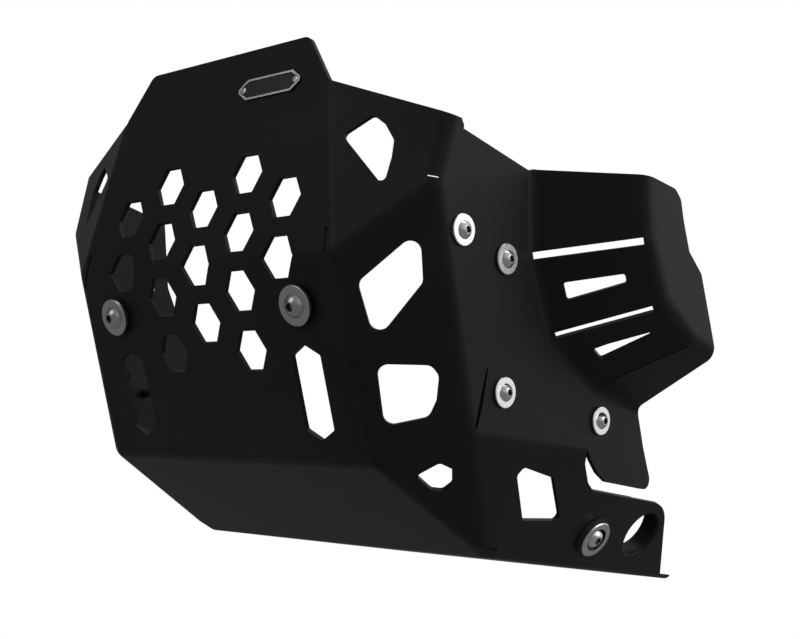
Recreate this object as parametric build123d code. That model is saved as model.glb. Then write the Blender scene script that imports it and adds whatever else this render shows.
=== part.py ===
from build123d import *
from math import atan2, degrees, hypot
import os

# Engine guard of a motorcycle: one folded sheet that hangs in front of and under the engine,
# with the screws, washers and rubber mounts that hold it.
# Millimetres. +Z is up, the front of the motorcycle is towards -Y and its left side is +X.
# The origin is the middle of the flat underside.

os.makedirs("parts", exist_ok=True)

# Sheet and its folds
sheet = 3.0
bend_inside = 8.0
floor_bend_inside = 2.0

# Flats of the tub. Runs go forwards and rises go up from the fold below.
floor_length = 214.0
floor_half_width = 128.0
chin_run = 97.0
chin_rise = 43.5
chin_half_width = 119.0
nose_run = 50.5
nose_rise = 111.5
nose_half_width = 116.5
front_rise = 134.5
front_lean = 4.2
shoulder_rise = 103.5
shoulder_half_width = 95.0
side_fold_half_width = 164.0
side_fold_height = 65.6
side_corner_run = 70.0
side_slope = 0.041
side_flare = 0.024

# Upper edge of the tab, and of the sides from the front corner to the bulge
tab_half_width = 73.0
tab_corner = 8.0
side_top_drop = 24.7
cheek_top_drop = 35.8
side_top_run = 112.0
notch_depth = 4.3
side_edge_drop = 6.5

# Bulge of the left side, which clears the engine's cover: the steps of its lower edge,
# how far each ramp runs inwards, and the rear edge of its outer flat
bulge_half_width = 228.0
bulge_run = 47.0
bulge_top_drop = 9.5
bulge_steps = ((10.2, 49.3), (26.8, 43.0), (50.0, 22.0), (49.0, 5.0))
ramp_runs = (34.1, 34.9, 31.7, 30.0)
land_edge = (
    (65.5, 0.5),
    (72.5, -4.0),
    (77.7, -16.5),
    (86.3, -32.5),
    (102.3, -42.5),
    (113.0, -62.5),
    (124.5, -84.5),
)
slit_width = 4.2
slit_margins = ((0.5, 4.5), (3.0, 8.0), (1.0, 4.0))
seam_width = 0.8
ramp_slots = (
    ((19.4, 14.3), (21.5, 49.8), (27.0, 49.8), (30.2, 14.3)),
    ((23.8, 15.5), (25.0, 25.0), (31.0, 50.0), (34.4, 50.0), (34.7, 15.5)),
)
ramp_slot_corner = 1.5

# Flap of the side: distances behind the floor's front fold and heights above the side fold,
# and the step from the bulge's last corner to the flap's rear edge
flap_edge = ((39.5, 6.9), (46.0, -0.1), (54.0, -6.6), (64.0, -10.9), (117.0, -10.9))
flap_rear_step = (12.5, -24.5)
flap_overlap_rise = 30.4

# Edge of the lower side: distances behind the floor's front fold and up the slope, then its
# rear corner and foot ahead of the floor's rear edge, where a strip of the floor stays
lower_side_edge = ((39.5, 82.0), (44.8, 72.5), (58.5, 60.5), (68.5, 55.8))
lower_rear_ahead = 55.5
lower_foot_ahead = 11.0
lower_rear_corner = 30.0
strip_rise = 3.5
edge_corner = 6.0
side_gap_floor = 50.0
tub_middle_clear = 60.0

# Hexagons of the front: columns at the pitch, rows at half the pitch from the nose fold
hexagon_width = 26.5
hexagon_height = 24.0
hexagon_point = 6.6
hexagon_pitch = 36.0
outer_column_rows = (2, 0)
inner_column_rows = (3, 1, -1, -3)
middle_column_rows = (2, 0, -2)

# Tall slots under the front mounts
tall_slot_half_spacing = 81.0
tall_slot_drop = 80.0
tall_slot_width = 23.0
tall_slot_height = 57.0
tall_slot_point = 6.5
tall_slot_corner = 1.5

# Holes of the cheeks and of the lower side, in each flat from its lower front corner
upper_cheek_hole = ((38.0, 58.0), (59.0, 57.2), (61.7, 48.0), (61.0, 35.5), (55.0, 27.5), (42.5, 15.0))
middle_cheek_holes = (
    ((25.0, 100.5), (67.0, 117.0), (59.0, 89.0), (23.0, 66.0)),
    ((19.7, 54.5), (48.2, 44.2), (50.5, 37.5), (44.5, 24.5), (37.5, 17.0), (12.3, 19.8)),
)
lower_cheek_hole = ((18.5, -16.8), (34.0, -12.9), (39.3, -20.5), (35.8, -32.0), (29.0, -35.2), (23.4, -31.5))
lower_side_hole = ((-10.8, 62.2), (-13.3, 56.2), (14.7, 28.2), (52.2, 32.0), (22.0, 59.1))
cheek_hole_corner = 3.0
middle_hole_corner = 6.0

# Relief slits where three flats meet: their ends in the flat named by the slit
relief_width = 1.6
front_relief = ((109.7, 14.0), (110.5, 0.0))
nose_relief = ((110.5, 0.0), (115.0, -8.0))
shoulder_relief = ((-4.5, 0.0), (1.5, 0.0))
floor_relief = ((-9.0, 5.5), (4.0, 5.5))
side_relief = ((5.2, 38.5), (6.6, 38.5), (5.8, 18.0), (3.6, 3.5), (1.8, 4.5), (2.4, 14.0))

# Front mounts: screw, wide washer, rubber bush in a six-sided slot, and steel sleeve.
# A head is given by its width and height.
front_mount_half_spacing = 84.0
front_mount_drop = 28.0
mount_slot_width = 26.0
mount_slot_height = 18.0
mount_slot_point = 6.5
front_thread = 8.0
front_head = (14.0, 4.4)
front_socket = 5.0
front_screw_length = 32.0
front_washer_width = 24.0
front_washer_thickness = 2.0
bush_width = 17.0
bush_proud = 3.0
bush_flange = 3.0
bush_margin = 4.0
sleeve_wall = 1.8

# Side screws and washers: behind the floor's front fold and above the side fold, and the
# rearmost one from the bulge's last corner
side_screw_places = ((-100.5, 109.0), (-60.5, 102.0), (-47.5, 27.5))
rear_screw_step = (-40.0, -14.0)
side_thread = 6.0
side_head = (10.5, 3.3)
side_socket = 4.0
side_screw_length = 16.0
side_washer_width = 18.0
side_washer_thickness = 2.0

# Lower mounts: screw, cup washer and rubber grommet, ahead of the floor's rear edge and up
# the lower side's flat
lower_mount_ahead = 121.0
lower_mount_up = 24.7
lower_thread = 8.0
lower_head = (14.0, 4.4)
lower_socket = 5.0
lower_screw_length = 30.0
cup_width = 25.0
cup_depth = 3.5
cup_wall = 1.2
grommet_width = 18.0
grommet_rim_width = 27.0
grommet_rim = 1.5
lug_hole_ahead = 64.5
lug_hole_up = 31.0
lug_hole_width = 32.0
collar_depth = 13.0
collar_mouth = 2.5

# Plate on the tab, with its rivets
badge_up = 108.0
badge_across = 45.0
badge_length = 57.0
badge_width = 13.0
badge_thickness = 1.5
badge_rim = 1.2
badge_recess = 0.5
badge_point = 9.0
badge_corner = 2.5
rivet_width = 4.0
rivet_head_height = 0.8
rivet_inset = 6.0

# Shares of a domed head that its flat top and its socket take, share of the thread that the
# thinner shank under the head has, and the broken edge of a washer
dome_share = 0.85
socket_share = 0.6
shank_share = 0.9
washer_edge = 0.4

# Clearance of a screw in its hole, and of one round piece in another
screw_play = 0.25
fit_play = 0.1
tiny = 0.01
cut_depth = 20.0

bend_outside = bend_inside + sheet
floor_bend_outside = floor_bend_inside + sheet
blank = 3 * floor_length
front_fold = -floor_length / 2
side_top_height = chin_rise + nose_rise + shoulder_rise - side_top_drop
cheek_top_height = side_top_height - cheek_top_drop
bulge_top_height = side_top_height - bulge_top_drop
strip_share = strip_rise / lower_side_edge[-1][1]
lower_foot = floor_length - lower_foot_ahead - strip_share * (lower_rear_ahead - lower_foot_ahead)


def on_side(back, height):
    """Point of the outer side face, at a distance behind the floor's front fold."""
    widening = (height - side_fold_height) * side_slope + (back + side_corner_run) * side_flare
    return Vector(side_fold_half_width + widening, front_fold + back, height)


def flat(origin, along, up):
    """Plane of a flat's outer face: x runs to along, y to the side of up, z outwards."""
    x_dir = Vector(along) - Vector(origin)
    return Plane(origin=origin, x_dir=x_dir, z_dir=x_dir.cross(Vector(up) - Vector(origin)))


def meet(a, b, c):
    """Point where three planes cross."""
    bc = b.z_dir.cross(c.z_dir)
    ca = c.z_dir.cross(a.z_dir)
    ab = a.z_dir.cross(b.z_dir)
    total = bc * a.z_dir.dot(a.origin) + ca * b.z_dir.dot(b.origin) + ab * c.z_dir.dot(c.origin)
    return total * (1 / a.z_dir.dot(bc))


def mirrored(plane):
    """The same flat on the right side."""
    o = plane.origin
    n = plane.z_dir
    return Plane(origin=(-o.X, o.Y, o.Z), z_dir=(-n.X, n.Y, n.Z))


# Corners where the outer faces would meet if every fold were sharp
floor_corner = Vector(floor_half_width, front_fold, 0)
chin_corner = Vector(chin_half_width, front_fold - chin_run, chin_rise)
nose_corner = Vector(nose_half_width, chin_corner.Y - nose_run, chin_rise + nose_rise)
nose_middle = Vector(0, nose_corner.Y, nose_corner.Z)
shoulder_back = front_lean * shoulder_rise / front_rise
shoulder_corner = Vector(shoulder_half_width, nose_corner.Y + shoulder_back, nose_corner.Z + shoulder_rise)
side_corner = on_side(-side_corner_run, side_fold_height)
tab_height = nose_corner.Z + front_rise

# Flats of the tub
side = flat(side_corner, on_side(0, side_fold_height), on_side(-side_corner_run, cheek_top_height))
lower_side = flat(floor_corner, floor_corner + (0, 1, 0), side_corner)
middle_cheek = flat(chin_corner, side_corner, nose_corner)
cheek_corner = meet(middle_cheek, side, Plane.XY.offset(cheek_top_height))
upper_cheek = flat(nose_corner, cheek_corner, shoulder_corner)
lower_cheek = flat(chin_corner, side_corner, chin_corner + side_corner - floor_corner)
front = flat(nose_middle, nose_corner, (0, shoulder_corner.Y, shoulder_corner.Z))
lower_front = flat(nose_middle, nose_corner, nose_middle + (0, -nose_run, nose_rise))
chin = flat((0, front_fold, 0), floor_corner, (0, chin_corner.Y, chin_corner.Z))
front_flats = (front, lower_front, chin)
cheek_flats = (upper_cheek, middle_cheek, lower_cheek, side, lower_side)


def bulge_lower_edge():
    """Corners of the bulge on the side face, from its top front corner down and back."""
    corners = [on_side(-bulge_run, bulge_top_height)]
    for back, down in bulge_steps:
        last = corners[-1]
        corners.append(on_side(last.Y - front_fold + back, last.Z - down))
    return corners


def ramp_flat(low, high, run):
    """Flat of one ramp, from an edge on the side face outwards and inwards of the outline."""
    edge = high - low
    length = hypot(edge.Y, edge.Z)
    top = Vector(bulge_half_width, low.Y - edge.Z / length * run, low.Z + edge.Y / length * run)
    return flat(low, high, top)


bulge_foot = bulge_lower_edge()
ramps = [ramp_flat(a, b, run) for a, b, run in zip(bulge_foot, bulge_foot[1:], ramp_runs)]
land = Plane(origin=(bulge_half_width, 0, 0), x_dir=(0, 1, 0), z_dir=(1, 0, 0))
bulge_head = [meet(a, b, land) for a, b in zip(ramps, ramps[1:])]


def outline(points, radius=0.0):
    """Face of a closed outline with its corners rounded."""
    return make_face(FilletPolyline(*points, radius=radius, close=True).edges())


def punch(plane, face, depth):
    """Tool that cuts a face of a flat's own plane through the sheet."""
    return extrude(plane * face, amount=depth, both=True)


def half_spaces(planes, middle):
    """Block behind a set of outward planes."""
    body = Box(blank, 2 * blank, blank).moved(Location(middle))
    for plane in planes:
        body = split(body, bisect_by=plane, keep=Keep.BOTTOM)
    return body.solid()


def tub_body(radius, floor_level, floor_radius):
    """The tub filled solid, with its folds rounded."""
    flats = front_flats + cheek_flats + tuple(mirrored(plane) for plane in cheek_flats)
    sharp = half_spaces(flats, (0, floor_length, blank / 4))
    core = offset(sharp, amount=-bend_outside, kind=Kind.INTERSECTION).solid()
    body = offset(core, amount=radius, kind=Kind.ARC).solid()
    body = split(body, bisect_by=Plane.XY.offset(floor_level), keep=Keep.TOP).solid()
    base = body.faces().sort_by(Axis.Z)[0]
    folds = [edge for edge in base.edges() if edge.center().Y < floor_length]
    return body.fillet(floor_radius, folds)


def lies_on(edge, face, others):
    """Whether a straight edge is where a plane meets one of the others."""
    ends = [vertex.center() for vertex in edge.vertices()]
    held = [all(abs((end - p.origin).dot(p.z_dir)) < tiny for end in ends) for p in others]
    return any(held) and all(abs((end - face.origin).dot(face.z_dir)) < tiny for end in ends)


def with_bulge(body, depth, foot_radius, head_radius):
    """The filled tub with the bulge of its left side, whose outer faces are sunk by depth."""
    slopes = [plane.offset(-depth) for plane in ramps]
    near = side.offset(-depth)
    top = land.offset(-depth)
    middle = (blank / 2 + nose_half_width, floor_length, side_fold_height + blank / 2)
    whole = body + half_spaces(slopes + [top], middle)
    whole = split(whole, bisect_by=Plane.XY.offset(2 * side_top_height), keep=Keep.BOTTOM)
    whole = split(whole, bisect_by=Plane.XZ.offset(-floor_length), keep=Keep.TOP).solid()
    head = [edge for edge in whole.edges() if lies_on(edge, top, slopes)]
    foot = [edge for edge in whole.edges() if lies_on(edge, near, slopes)]
    return whole.fillet(head_radius, head).fillet(foot_radius, foot)


def both_sides(part):
    """A tool of the left side together with its twin on the right."""
    return [part, mirror(part, about=Plane.YZ)]


def front_edge_tool():
    """Cuts the sheet along the top of the tab, the shoulders and the upper cheeks."""
    slope = (shoulder_corner.Z - side_top_height) / (on_side(0, side_top_height).X - shoulder_half_width)
    far = shoulder_half_width + (shoulder_corner.Z - side_top_height) / slope
    right = [(tab_half_width, tab_height), (shoulder_half_width, shoulder_corner.Z), (far, side_top_height)]
    right += [(blank, side_top_height), (blank, blank)]
    left = [(-x, z) for x, z in reversed(right)]
    radii = [0.0] * 4 + [tab_corner] * 2 + [0.0] * 4
    plane = Plane(origin=(0, front_fold - side_top_run, 0), x_dir=(1, 0, 0), z_dir=(0, -1, 0))
    return extrude(plane * outline(left + right, radii), amount=blank)


def flap_rear():
    """Where the flap's rear edge starts to lean: distance back and height."""
    end = bulge_foot[-1]
    return (end.Y - front_fold + flap_rear_step[0], end.Z + flap_rear_step[1])


def side_edge_tool(rear_edge):
    """Cuts the side along its top and a rear edge given as points of distance back and height."""
    start = -side_top_run
    flap_end, flap_low = flap_edge[-1]
    points = [
        (start, blank),
        (start, side_top_height),
        (start + notch_depth / 2, side_top_height - notch_depth / 2),
        (start + notch_depth / 2, side_top_height - notch_depth),
        (-bulge_run - notch_depth / 2, side_top_height - notch_depth - side_edge_drop),
    ]
    points += rear_edge
    points += [
        flap_rear(),
        (flap_end, side_fold_height + flap_low),
        (flap_end, side_gap_floor),
        (lower_foot, side_gap_floor),
        (lower_foot, sheet),
        (blank, sheet),
        (blank, blank),
    ]
    radii = [0.0] * 6 + [edge_corner] * (len(rear_edge) - 2) + [0.0] * 8
    face = outline([(front_fold + back, height) for back, height in points], radii)
    plane = Plane(origin=(tub_middle_clear, 0, 0), x_dir=(0, 1, 0), z_dir=(1, 0, 0))
    return extrude(plane * face, amount=blank)


def bulge_rear_edge():
    """Rear edge of the bulge: the land's edge, then the last ramp's end."""
    first = bulge_foot[0]
    top = (first.Y - front_fold, bulge_top_height)
    edge = [(top[0] + back, bulge_top_height + up) for back, up in land_edge]
    last = bulge_foot[-1]
    return [top] + edge + [(last.Y - front_fold, last.Z)]


def plain_rear_edge():
    """Rear edge of the side that has no bulge: it follows the line of the bulge's foot."""
    return [(corner.Y - front_fold, corner.Z) for corner in bulge_foot]


def lower_side_tool():
    """Cuts the lower side along its upper and rear edge, square to its own flat."""
    first = lower_side_edge[0]
    top = first[1] + flap_overlap_rise - flap_edge[0][1]
    points = list(lower_side_edge)
    points += [(floor_length - lower_rear_ahead, lower_side_edge[-1][1]), (lower_foot, strip_rise)]
    points += [(blank, strip_rise), (blank, top), (first[0], top)]
    radii = [0.0] + [edge_corner] * (len(lower_side_edge) - 1) + [lower_rear_corner] + [0.0] * 4
    return punch(lower_side, outline(points, radii), 2 * sheet)


def flap_plate():
    """The side's flap, which hangs past the side fold."""
    back, height = flap_rear()
    rear = (back, height - side_fold_height)
    share = (flap_overlap_rise - rear[1]) / -flap_rear_step[1]
    corner = (rear[0] - share * flap_rear_step[0], flap_overlap_rise)
    points = list(flap_edge) + [rear, corner, (flap_edge[0][0], flap_overlap_rise)]
    local = [(back + side_corner_run, rise) for back, rise in points]
    radii = [0.0] + [edge_corner] * (len(flap_edge) - 1) + [0.0] * 3
    return extrude(side * outline(local, radii), amount=-sheet)


def six_sided(width, height, point, radius=0.0):
    """Long six-sided outline with its points at the left and right."""
    x = width / 2
    y = height / 2
    flat_x = x - point
    return outline([(-x, 0), (-flat_x, y), (flat_x, y), (x, 0), (flat_x, -y), (-flat_x, -y)], radius)


def front_holes():
    """Hexagons, mount slots and tall slots of the front."""
    tools = []
    crease = Plane(origin=nose_middle, x_dir=(1, 0, 0), z_dir=front.z_dir + lower_front.z_dir)
    columns = (outer_column_rows, inner_column_rows, middle_column_rows, inner_column_rows, outer_column_rows)
    for column, rows in enumerate(columns):
        across = (column - 2) * hexagon_pitch
        for row in rows:
            plane = crease if row == 0 else front if row > 0 else lower_front
            place = Pos(across, row * hexagon_pitch / 2)
            hexagon = six_sided(hexagon_width, hexagon_height, hexagon_point)
            tools.append(punch(plane, place * hexagon, cut_depth))
    for sign in (-1, 1):
        mount = Pos(sign * front_mount_half_spacing, -front_mount_drop)
        slot = six_sided(mount_slot_width, mount_slot_height, mount_slot_point)
        tools.append(punch(lower_front, mount * slot, cut_depth))
        tall = Pos(sign * tall_slot_half_spacing, -tall_slot_drop) * Rot(0, 0, 90)
        slot = six_sided(tall_slot_height, tall_slot_width, tall_slot_point, tall_slot_corner)
        tools.append(punch(lower_front, tall * slot, cut_depth))
    return tools


def slit(plane, ends, width):
    """Tool of a narrow slit between two points of a flat."""
    start = Vector(*ends[0])
    along = Vector(*ends[1]) - start
    middle = start + along * (1 / 2)
    shape = SlotOverall(along.length + width, width)
    turn = Rot(0, 0, degrees(atan2(along.Y, along.X)))
    return punch(plane, Pos(middle.X, middle.Y) * turn * shape, cut_depth)


def relief_slits():
    """Slits of the left side's corners, each twinned on the right."""
    floor_middle = Plane(origin=floor_corner, x_dir=(0, 1, 0), z_dir=chin.z_dir + lower_side.z_dir)
    outwards = middle_cheek.z_dir + side.z_dir
    level = Vector(-outwards.Y, outwards.X, 0)
    shoulder_middle = Plane(origin=cheek_corner, x_dir=level, z_dir=outwards)
    tools = [
        slit(front, front_relief, relief_width),
        slit(lower_front, nose_relief, relief_width),
        slit(shoulder_middle, shoulder_relief, seam_width),
        slit(floor_middle, floor_relief, relief_width),
        punch(side, outline(side_relief, relief_width / 4), cut_depth),
    ]
    return [twin for tool in tools for twin in both_sides(tool)]


def side_holes():
    """Holes and slits of the left cheeks and side, each twinned on the right."""
    tools = [punch(upper_cheek, outline(upper_cheek_hole, cheek_hole_corner), cut_depth)]
    for hole in middle_cheek_holes:
        tools.append(punch(middle_cheek, outline(hole, middle_hole_corner), cut_depth))
    tools.append(punch(lower_cheek, outline(lower_cheek_hole, cheek_hole_corner), cut_depth))
    tools.append(punch(lower_side, outline(lower_side_hole, cheek_hole_corner), cut_depth))
    for place in side_screw_planes:
        tools.append(punch(place, Circle(side_thread / 2 + screw_play), cut_depth))
    tools.append(punch(lower_mount, Circle(grommet_width / 2 + fit_play), cut_depth))
    tools.append(punch(lug, Circle(lug_hole_width / 2 + sheet), cut_depth))
    return [twin for tool in tools for twin in both_sides(tool)]


def bulge_slits():
    """Slits along the bulge's folds, and the slots of its two middle ramps."""
    tools = []
    for index, head in enumerate(bulge_head):
        foot = bulge_foot[index + 1]
        along = head - foot
        outwards = ramps[index].z_dir + ramps[index + 1].z_dir
        square = outwards - along * (outwards.dot(along) / along.dot(along))
        plane = Plane(origin=foot, x_dir=along, z_dir=square)
        width = slit_width if index < 2 else seam_width
        start, end = slit_margins[index]
        length = along.length - start - end
        tools.append(punch(plane, Pos(start + length / 2, 0) * Rectangle(length, width), cut_depth))
    for ramp, slot in zip(ramps[1:3], ramp_slots):
        tools.append(punch(ramp, outline(slot, ramp_slot_corner), cut_depth))
    return tools


def lug_collar():
    """Collar drawn inwards round the lug's hole, with a rounded mouth."""
    band = Circle(lug_hole_width / 2 + sheet) - Circle(lug_hole_width / 2)
    collar = extrude(band, amount=-collar_depth)
    mouth = collar.edges().group_by(Axis.Z)[-1].sort_by(SortBy.LENGTH)[0]
    return lug * fillet(mouth, collar_mouth)


def plane_at(plane, x, y):
    """Plane of a flat moved to a point of it."""
    return Plane(origin=plane.from_local_coords(Vector(x, y, 0)), x_dir=plane.x_dir, z_dir=plane.z_dir)


side_screw_planes = []
side_screw_spots = [(back, side_fold_height + rise) for back, rise in side_screw_places]
rear_corner = bulge_foot[-1]
rear_back = rear_corner.Y - front_fold + rear_screw_step[0]
side_screw_spots.append((rear_back, rear_corner.Z + rear_screw_step[1]))
for back, height in side_screw_spots:
    side_screw_planes.append(Plane(origin=on_side(back, height), x_dir=(0, 1, 0), z_dir=side.z_dir))
lower_mount = plane_at(lower_side, floor_length - lower_mount_ahead, lower_mount_up)
lug = plane_at(lower_side, floor_length - lug_hole_ahead, lug_hole_up)
badge_place = Pos(badge_across, badge_up)
rivet_spacing = badge_length - 2 * rivet_inset
badge_rivet_places = [badge_place * Pos(sign * rivet_spacing / 2, 0) for sign in (-1, 1)]
sleeve_width = front_thread + 2 * screw_play + 2 * sleeve_wall


def main_plate():
    """The folded sheet."""
    outer = with_bulge(tub_body(bend_outside, 0, floor_bend_outside), 0, bend_inside, bend_outside)
    inner = with_bulge(tub_body(bend_inside, sheet, floor_bend_inside), sheet, bend_outside, bend_inside)
    plate = outer - inner
    rear = Plane(origin=(0, floor_length / 2, 0), x_dir=(1, 0, 0), z_dir=(0, 1, 0))
    plate = plate - extrude(rear * Rectangle(2 * blank, 2 * blank), amount=blank)
    plate = plate - front_edge_tool()
    plate = plate - side_edge_tool(bulge_rear_edge())
    plate = plate - mirror(side_edge_tool(plain_rear_edge()), about=Plane.YZ)
    for tool in both_sides(lower_side_tool()):
        plate = plate - tool
    for piece in both_sides(flap_plate()):
        plate = plate + piece
    for tool in front_holes() + side_holes() + bulge_slits() + relief_slits():
        plate = plate - tool
    for piece in both_sides(lug_collar()):
        plate = plate + piece
    rivet_hole = Circle(rivet_width / 4 + fit_play)
    for place in badge_rivet_places:
        plate = plate - punch(front, place * rivet_hole, cut_depth)
    return plate.solid()


def button_screw(seat, thread, head, socket, length, grip):
    """Screw with a domed head on a seat, a thinner shank as long as its grip, and a thread."""
    width, height = head
    dome = (width * width / 4 + height * height) / (2 * height)
    top = height * dome_share
    shape = Pos(0, 0, top / 2) * Cylinder(width / 2, top)
    shape = shape & (Pos(0, 0, height - dome) * Sphere(dome))
    shank = Pos(0, 0, -grip / 2) * Cylinder(thread / 2 * shank_share, grip)
    end = Pos(0, 0, -(grip + length) / 2) * Cylinder(thread / 2, length - grip)
    end = chamfer(end.edges().sort_by(Axis.Z)[0], thread / 8)
    hexagon = RegularPolygon(socket / 2, 6, major_radius=False)
    recess = extrude(Pos(0, 0, top) * hexagon, amount=-top * socket_share)
    return seat * (shape + shank + end - recess).solid()


def ring(seat, width, bore, thickness, edge):
    """Washer on a seat, with a broken outer edge."""
    body = Pos(0, 0, thickness / 2) * Cylinder(width / 2, thickness)
    body = chamfer(body.edges().group_by(Axis.Z)[-1], edge)
    return seat * (body - Pos(0, 0, thickness / 2) * Cylinder(bore / 2, 2 * thickness)).solid()


def front_bush(seat):
    """Rubber bush that stands proud of the mount slot and closes it behind with a flange."""
    width = mount_slot_width + 2 * bush_margin
    height = mount_slot_height + 2 * bush_margin
    flange = six_sided(width, height, mount_slot_point)
    collar = Circle(bush_width / 2)
    body = extrude(collar, amount=bush_proud) + extrude(collar, amount=-sheet)
    body = body + extrude(Pos(0, 0, -sheet) * flange, amount=-bush_flange)
    return seat * (body - Cylinder(sleeve_width / 2 + fit_play, cut_depth)).solid()


def front_sleeve(seat):
    """Steel spacer inside the bush, between the washer and the bracket behind."""
    length = bush_proud + sheet + bush_flange
    tube = Cylinder(sleeve_width / 2, length) - Cylinder(front_thread / 2 + screw_play, length)
    return seat * Pos(0, 0, bush_proud - length / 2) * tube.solid()


def lower_grommet(seat):
    """Rubber grommet in the lower side, with a rim on both faces of the sheet."""
    rim = Cylinder(grommet_rim_width / 2, grommet_rim)
    body = Pos(0, 0, grommet_rim / 2) * rim + Pos(0, 0, -sheet - grommet_rim / 2) * rim
    body = body + Pos(0, 0, -sheet / 2) * Cylinder(grommet_width / 2, sheet)
    return seat * (body - Cylinder(lower_thread / 2 + screw_play, cut_depth)).solid()


def lower_cup(seat):
    """Dished washer whose rim stands round the screw's head."""
    body = ring(Plane.XY, cup_width, lower_thread + 2 * screw_play, cup_depth, cup_wall / 2)
    well = Pos(0, 0, cup_depth) * Cylinder(lower_head[0] / 2 + cup_wall, 2 * (cup_depth - cup_wall))
    return seat * (body - well).solid()


def badge_plate(seat):
    """Small plate with a raised rim and a hole for each rivet."""
    body = extrude(six_sided(badge_length, badge_width, badge_point, badge_corner), amount=badge_thickness)
    length = badge_length - 2 * badge_rim
    width = badge_width - 2 * badge_rim
    field = six_sided(length, width, badge_point, badge_corner)
    body = body - extrude(Pos(0, 0, badge_thickness) * field, amount=-badge_recess)
    for sign in (-1, 1):
        body = body - Pos(sign * rivet_spacing / 2, 0, 0) * Cylinder(rivet_width / 4 + fit_play, cut_depth)
    return seat * body.solid()


def badge_rivet(seat):
    """Rivet with a domed head on the plate's recess and a shank through the sheet."""
    floor = badge_thickness - badge_recess
    shank = sheet + floor
    body = Pos(0, 0, floor + rivet_head_height / 2) * Cylinder(rivet_width / 2, rivet_head_height)
    body = fillet(body.edges().group_by(Axis.Z)[-1], rivet_head_height * dome_share)
    return seat * (body + Pos(0, 0, floor - shank / 2) * Cylinder(rivet_width / 4, shank)).solid()


def save(name, solid):
    """Writes one piece."""
    export_step(solid, f"parts/{name}.step")


def save_pair(name, solid, number=""):
    """Writes a piece of the left side and its twin on the right."""
    save(f"{name}_left{number}", solid)
    save(f"{name}_right{number}", mirror(solid, about=Plane.YZ))


save("main_plate", main_plate())
save("badge_plate", badge_plate(front * badge_place))
for number, place in enumerate(badge_rivet_places, 1):
    save(f"badge_rivet_{number}", badge_rivet(front * place))

front_mount = plane_at(lower_front, front_mount_half_spacing, -front_mount_drop)
front_bore = front_thread + 2 * screw_play
save_pair("front_bush", front_bush(front_mount))
save_pair("front_sleeve", front_sleeve(front_mount))
washer_seat = front_mount.offset(bush_proud)
washer = ring(washer_seat, front_washer_width, front_bore, front_washer_thickness, washer_edge)
save_pair("front_washer", washer)
seat = front_mount.offset(bush_proud + front_washer_thickness)
grip = front_washer_thickness + bush_proud + sheet + bush_flange
screw = button_screw(seat, front_thread, front_head, front_socket, front_screw_length, grip)
save_pair("front_screw", screw)

side_bore = side_thread + 2 * screw_play
grip = side_washer_thickness + sheet
for number, place in enumerate(side_screw_planes, 1):
    washer = ring(place, side_washer_width, side_bore, side_washer_thickness, washer_edge)
    save_pair("side_washer", washer, f"_{number}")
    seat = place.offset(side_washer_thickness)
    screw = button_screw(seat, side_thread, side_head, side_socket, side_screw_length, grip)
    save_pair("side_screw", screw, f"_{number}")

save_pair("lower_grommet", lower_grommet(lower_mount))
save_pair("lower_cup_washer", lower_cup(lower_mount.offset(grommet_rim)))
seat = lower_mount.offset(grommet_rim + cup_wall)
grip = cup_wall + 2 * grommet_rim + sheet
screw = button_screw(seat, lower_thread, lower_head, lower_socket, lower_screw_length, grip)
save_pair("lower_screw", screw)
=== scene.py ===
from math import radians

import bpy
from mathutils import Matrix, Vector


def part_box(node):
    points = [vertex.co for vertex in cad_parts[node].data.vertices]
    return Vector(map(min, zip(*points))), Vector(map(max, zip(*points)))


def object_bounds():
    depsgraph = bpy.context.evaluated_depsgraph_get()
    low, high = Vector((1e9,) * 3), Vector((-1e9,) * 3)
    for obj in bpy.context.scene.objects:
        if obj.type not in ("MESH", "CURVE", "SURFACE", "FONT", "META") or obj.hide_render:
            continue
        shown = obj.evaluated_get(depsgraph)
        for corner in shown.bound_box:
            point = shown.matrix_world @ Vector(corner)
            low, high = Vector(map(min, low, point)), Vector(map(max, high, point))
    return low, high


# The guard's own frame: metres, +Z up, the front of the motorcycle towards -Y, its left side +X.
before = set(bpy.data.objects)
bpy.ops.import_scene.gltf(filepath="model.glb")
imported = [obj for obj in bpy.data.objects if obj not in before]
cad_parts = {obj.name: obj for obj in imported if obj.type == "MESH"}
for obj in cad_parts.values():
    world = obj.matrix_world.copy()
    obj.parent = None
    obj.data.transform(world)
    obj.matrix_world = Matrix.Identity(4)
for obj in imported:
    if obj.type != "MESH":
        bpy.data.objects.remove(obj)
cad_low, cad_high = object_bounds()

# The photographer's camera, low down at the guard's front left corner and tilted a little.
# It looks up past the flat bottom, which it sees exactly from the side.
camera_place = (0.6177, -0.7460, -0.0029)
camera_heading, camera_pitch, camera_roll = radians(42.93), radians(9.64), radians(6.15)
bpy.ops.object.camera_add()
camera = bpy.context.object
camera.name = "photo_camera"
camera.data.lens = 59.25
camera.data.shift_x = 0.0214
camera.data.shift_y = 0.0097
camera.data.clip_end = 60
facing = Matrix.Rotation(camera_heading, 4, "Z") @ Matrix.Rotation(radians(90) + camera_pitch, 4, "X")
camera.matrix_world = Matrix.Translation(camera_place) @ facing @ Matrix.Rotation(camera_roll, 4, "Z")
bpy.context.scene.camera = camera
bpy.context.scene.view_settings.view_transform = "Standard"


def colour(hex_text):
    """Linear colour of an sRGB hex value."""
    values = [int(hex_text[i:i + 2], 16) / 255 for i in (0, 2, 4)]
    return (*(v / 12.92 if v <= 0.04045 else ((v + 0.055) / 1.055) ** 2.4 for v in values), 1.0)


def add(tree, kind, sockets, **settings):
    """Adds a node, sets it, and gives each input socket a value or a link."""
    node = tree.nodes.new(kind)
    for name, value in settings.items():
        setattr(node, name, value)
    for name, value in sockets.items():
        if isinstance(value, bpy.types.NodeSocket):
            tree.links.new(value, node.inputs[name])
        else:
            node.inputs[name].default_value = value
    return node


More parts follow.
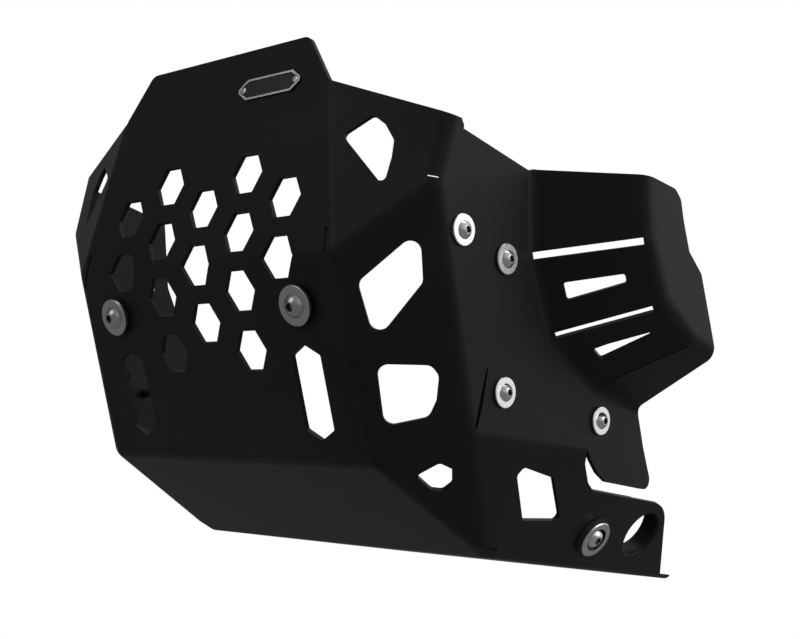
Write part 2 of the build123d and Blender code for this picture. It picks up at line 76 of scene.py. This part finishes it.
# The studio: a wide paper floor under the guard. The camera sees it as plain white, like the
# background, and the guard sees the soft grey light that it throws back.
floor_drop = 0.24
floor_half = 12.0
floor_light = 0.28
bpy.ops.mesh.primitive_plane_add(size=2 * floor_half, location=(0, 0, -floor_drop))
floor = bpy.context.object
floor.name = "studio_floor"
bpy.ops.object.transform_apply()
paper = bpy.data.materials.new("white_paper_floor")
paper.use_nodes = True
tree = paper.node_tree
tree.nodes.clear()
seen = add(tree, "ShaderNodeLightPath", {})
strength = add(tree, "ShaderNodeMapRange", {"Value": seen.outputs["Is Camera Ray"], 3: floor_light, 4: 1.0})
glow = add(tree, "ShaderNodeEmission", {"Color": colour("ffffff"), "Strength": strength.outputs[0]})
add(tree, "ShaderNodeOutputMaterial", {"Surface": glow.outputs[0]})
floor.data.materials.append(paper)

# The air round it: white to the camera. To the metal it is white behind the guard's left side
# and greyer towards its front, as a studio with one bright wall is.
bright_side = Vector((0.67, 0.72, 0.2)).normalized()
soft_level = 0.42
mirrored_levels = (0.12, 1.0)
world = bpy.data.worlds.new("studio_air")
bpy.context.scene.world = world
world.use_nodes = True
tree = world.node_tree
tree.nodes.clear()
place = add(tree, "ShaderNodeTexCoord", {})
facing = add(tree, "ShaderNodeVectorMath", {
    0: place.outputs["Generated"], 1: bright_side}, operation="DOT_PRODUCT")
shade = add(tree, "ShaderNodeMapRange", {
    "Value": facing.outputs["Value"], 1: -0.75, 2: 0.8, 3: mirrored_levels[0], 4: mirrored_levels[1]})
seen = add(tree, "ShaderNodeLightPath", {})
mirrored_air = add(tree, "ShaderNodeBackground", {"Color": colour("ffffff"), "Strength": shade.outputs[0]})
soft_air = add(tree, "ShaderNodeBackground", {"Color": colour("ffffff"), "Strength": soft_level})
white_air = add(tree, "ShaderNodeBackground", {"Color": colour("ffffff"), "Strength": 1.0})
shiny = add(tree, "ShaderNodeMath", {
    0: seen.outputs["Is Glossy Ray"], 1: seen.outputs["Is Transmission Ray"]}, operation="MAXIMUM")
lit = add(tree, "ShaderNodeMixShader", {
    0: shiny.outputs[0], 1: soft_air.outputs[0], 2: mirrored_air.outputs[0]})
all_air = add(tree, "ShaderNodeMixShader", {
    0: seen.outputs["Is Camera Ray"], 1: lit.outputs[0], 2: white_air.outputs[0]})
add(tree, "ShaderNodeOutputWorld", {"Surface": all_air.outputs[0]})

# Three softboxes: the large one beside the guard, a weak one in front and one overhead.
softboxes = (
    ("side_softbox", (1.7, 0.5, 0.75), 1.3, 10.5),
    ("front_softbox", (-0.5, -1.9, 0.9), 1.2, 7.0),
    ("top_softbox", (0.2, 0.0, 1.9), 1.4, 8.0),
)
guard_middle = (cad_low + cad_high) / 2
for name, spot, width, watts in softboxes:
    bpy.ops.object.light_add(type="AREA", location=spot)
    lamp = bpy.context.object
    lamp.name = name
    lamp.data.shape = "DISK"
    lamp.data.size = width
    lamp.data.energy = watts
    lamp.rotation_euler = (guard_middle - Vector(spot)).to_track_quat("-Z", "Y").to_euler()


def finish_with(node_names, material):
    """Gives CAD nodes one finish."""
    for name in node_names:
        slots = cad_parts[name].data.materials
        slots.clear()
        slots.append(material)


# The guard itself: one 3 mm aluminium sheet, laser cut, folded and then powder coated.
# The coat is satin black, and its baked powder has set in a very fine orange peel.
coat_grain = 0.0011
coat_peel = 0.0035
coat_clouds_per_metre = 14.0
coat_roughness = (0.38, 0.48)
coat_shine = 0.08
powder_coat = bpy.data.materials.new("satin_black_powder_coat")
powder_coat.use_nodes = True
tree = powder_coat.node_tree
skin = tree.nodes["Principled BSDF"]
place = add(tree, "ShaderNodeTexCoord", {})
grain = add(tree, "ShaderNodeTexNoise", {
    "Vector": place.outputs["Object"], "Scale": 1 / coat_grain, "Detail": 2.0})
peel = add(tree, "ShaderNodeTexNoise", {
    "Vector": place.outputs["Object"], "Scale": 1 / coat_peel, "Detail": 1.0})
cloud = add(tree, "ShaderNodeTexNoise", {
    "Vector": place.outputs["Object"], "Scale": coat_clouds_per_metre, "Detail": 2.0})
tint = add(tree, "ShaderNodeValToRGB", {0: cloud.outputs["Fac"]})
tint.color_ramp.elements[0].position = 0.3
tint.color_ramp.elements[0].color = colour("1a191b")
tint.color_ramp.elements[1].position = 0.7
tint.color_ramp.elements[1].color = colour("1f1e20")
gloss = add(tree, "ShaderNodeMapRange", {
    "Value": grain.outputs["Fac"], 3: coat_roughness[0], 4: coat_roughness[1]})
low_bump = add(tree, "ShaderNodeBump", {"Height": peel.outputs["Fac"], "Strength": 0.25, "Distance": 0.00006})
bump = add(tree, "ShaderNodeBump", {
    "Height": grain.outputs["Fac"], "Normal": low_bump.outputs[0], "Strength": 0.3, "Distance": 0.00003})
tree.links.new(tint.outputs[0], skin.inputs["Base Color"])
tree.links.new(gloss.outputs[0], skin.inputs["Roughness"])
tree.links.new(bump.outputs[0], skin.inputs["Normal"])
skin.inputs["IOR"].default_value = 1.5
skin.inputs["Specular IOR Level"].default_value = coat_shine
finish_with(["main_plate"], powder_coat)

# The rubber of the mounts: moulded black natural rubber, dull, with a slightly dusty skin.
rubber_grain = 0.0015
rubber = bpy.data.materials.new("moulded_black_rubber")
rubber.use_nodes = True
tree = rubber.node_tree
skin = tree.nodes["Principled BSDF"]
place = add(tree, "ShaderNodeTexCoord", {})
dust = add(tree, "ShaderNodeTexNoise", {
    "Vector": place.outputs["Object"], "Scale": 1 / rubber_grain, "Detail": 4.0})
tint = add(tree, "ShaderNodeValToRGB", {0: dust.outputs["Fac"]})
tint.color_ramp.elements[0].position = 0.35
tint.color_ramp.elements[0].color = colour("0b0b0c")
tint.color_ramp.elements[1].position = 0.75
tint.color_ramp.elements[1].color = colour("151516")
bump = add(tree, "ShaderNodeBump", {"Height": dust.outputs["Fac"], "Strength": 0.3, "Distance": 0.0001})
tree.links.new(tint.outputs[0], skin.inputs["Base Color"])
tree.links.new(bump.outputs[0], skin.inputs["Normal"])
skin.inputs["Roughness"].default_value = 0.75
finish_with(["front_bush_left", "front_bush_right", "lower_grommet_left", "lower_grommet_right"], rubber)


# All the fasteners are turned and polished steel, finely scratched all over. Painted shade darkens the
# corners between the pieces and the insides of the screws' sockets.
scratches_per_metre = 900.0
# Reach and tone of the painted shade that darkens the fasteners' corners and sockets.
painted_shade_reach = 0.003
painted_shade_tone = "2a2a2c"
ring_scale = 0.314


def turned_steel(name, node_names, tone, roughness, ring_spacing, outwards):
    """Steel turned on a lathe: faint rings about the piece's own axis, painted shade in its corners."""
    for node_name in node_names:
        low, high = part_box(node_name)
        axis = Vector(outwards)
        if "right" in node_name:
            axis.x = -axis.x
        turn = axis.to_track_quat("Z", "Y").to_euler()
        steel = bpy.data.materials.new(f"{name}_{node_name}")
        steel.use_nodes = True
        tree = steel.node_tree
        skin = tree.nodes["Principled BSDF"]
        place = add(tree, "ShaderNodeTexCoord", {})
        centred = add(tree, "ShaderNodeMapping", {
            "Vector": place.outputs["Object"], "Location": (low + high) / 2, "Rotation": turn},
            vector_type="TEXTURE")
        rings = add(tree, "ShaderNodeTexWave", {
            "Vector": centred.outputs[0], "Scale": ring_scale / ring_spacing, "Distortion": 1.5,
            "Detail": 2.0, "Detail Scale": 2.0}, wave_type="RINGS", rings_direction="Z")
        scratches = add(tree, "ShaderNodeTexNoise", {
            "Vector": centred.outputs[0], "Scale": scratches_per_metre, "Detail": 3.0})
        gloss = add(tree, "ShaderNodeMapRange", {
            "Value": scratches.outputs["Fac"], 1: 0.3, 2: 0.7, 3: roughness * 0.8, 4: roughness * 1.25})
        bump = add(tree, "ShaderNodeBump", {
            "Height": rings.outputs["Fac"], "Strength": 0.12, "Distance": 0.00002})
        # Painted shade: an occlusion mask darkens the steel's colour in its corners and sockets.
        corner_occlusion = add(tree, "ShaderNodeAmbientOcclusion", {"Distance": painted_shade_reach}, samples=8)
        unshaded_share = add(tree, "ShaderNodeMapRange", {"Value": corner_occlusion.outputs["AO"], 1: 0.35, 2: 0.8})
        tint = add(tree, "ShaderNodeMixRGB", {
            "Fac": unshaded_share.outputs[0], "Color1": colour(painted_shade_tone), "Color2": colour(tone)})
        tree.links.new(tint.outputs[0], skin.inputs["Base Color"])
        skin.inputs["Metallic"].default_value = 1.0
        tree.links.new(gloss.outputs[0], skin.inputs["Roughness"])
        tree.links.new(bump.outputs[0], skin.inputs["Normal"])
        finish_with([node_name], steel)


# Front mounts: on each side a wide ground washer under an M8 button head screw, which clamps
# a steel sleeve in a rubber bush. They face down to the grey floor, so the washers' and screws' tones are
# painted darker as painted shade.
sides = ("left", "right")
front_out = (0, -0.911, -0.413)
front_washers = [f"front_washer_{side}" for side in sides]
front_screws = [f"front_screw_{side}" for side in sides]
front_sleeves = [f"front_sleeve_{side}" for side in sides]
# Painted shade: the front washers' and screws' steel tones are set darker than the same steel elsewhere.
turned_steel("shaded_ground_steel", front_washers, "a2a2a4", 0.34, 0.0005, front_out)
turned_steel("polished_steel", front_screws, "9c9c9f", 0.3, 0.0006, front_out)
turned_steel("zinc_plated_steel", front_sleeves, "b9bcc0", 0.3, 0.0006, front_out)

# Side screws: four M6 button heads with large polished washers on each side, tightened flat
# on the coat. Their tones hold painted light: a painted highlight makes three washers nearly white in the
# light beside the guard, and painted shade makes the second one darker.
side_out = (0.999, -0.024, -0.041)
side_washers = [f"side_washer_{side}_{number}" for side in sides for number in (1, 3, 4)]
shaded_washers = [f"side_washer_{side}_2" for side in sides]
side_screws = [f"side_screw_{side}_{number}" for side in sides for number in range(1, 5)]
# Painted light: one polished steel toned brighter as painted highlight for three washers, and darker as
# painted shade for the second.
turned_steel("polished_lit_washer", side_washers, "dcdcde", 0.22, 0.0006, side_out)
turned_steel("shaded_washer", shaded_washers, "a6a6a9", 0.3, 0.0006, side_out)
turned_steel("polished_steel", side_screws, "bcbdc0", 0.24, 0.0005, side_out)

# Lower mounts: an M8 button head sunk in a cupped washer, on a black rubber grommet.
lower_out = (0.877, 0, -0.481)
cup_washers = [f"lower_cup_washer_{side}" for side in sides]
lower_screws = [f"lower_screw_{side}" for side in sides]
turned_steel("polished_cup", cup_washers, "b4b5b8", 0.24, 0.0006, lower_out)
turned_steel("polished_steel", lower_screws, "c6c7ca", 0.24, 0.0006, lower_out)

# Badge: a small six-sided plate, riveted to the upper front. Its raised rim is polished bright,
# and its field, half a millimetre lower, is filled with dark enamel. Levels are above the front.
badge_foot = Vector((0, -0.2545, 0.155))
badge_out = Vector((0, -134.5, 4.2)).normalized()
rim_level = (0.0012, 0.0013)
brushing_per_metre = 1500.0
badge = bpy.data.materials.new("bright_rim_dark_field")
badge.use_nodes = True
tree = badge.node_tree
skin = tree.nodes["Principled BSDF"]
place = add(tree, "ShaderNodeTexCoord", {})
from_foot = add(tree, "ShaderNodeVectorMath", {
    0: place.outputs["Object"], 1: badge_foot}, operation="SUBTRACT")
height = add(tree, "ShaderNodeVectorMath", {0: from_foot.outputs[0], 1: badge_out}, operation="DOT_PRODUCT")
rim = add(tree, "ShaderNodeMapRange", {"Value": height.outputs["Value"], 1: rim_level[0], 2: rim_level[1]})
tint = add(tree, "ShaderNodeValToRGB", {0: rim.outputs[0]})
tint.color_ramp.elements[0].color = colour("1d1d20")
tint.color_ramp.elements[1].color = colour("f6f6f8")
brushing = add(tree, "ShaderNodeTexNoise", {
    "Vector": place.outputs["Object"], "Scale": brushing_per_metre, "Detail": 2.0})
gloss = add(tree, "ShaderNodeMapRange", {"Value": brushing.outputs["Fac"], 3: 0.22, 4: 0.34})
tree.links.new(tint.outputs[0], skin.inputs["Base Color"])
tree.links.new(rim.outputs[0], skin.inputs["Metallic"])
tree.links.new(gloss.outputs[0], skin.inputs["Roughness"])
finish_with(["badge_plate"], badge)
turned_steel("bright_rivet", ["badge_rivet_1", "badge_rivet_2"], "d8d9dc", 0.25, 0.0008, (0, -1, 0))
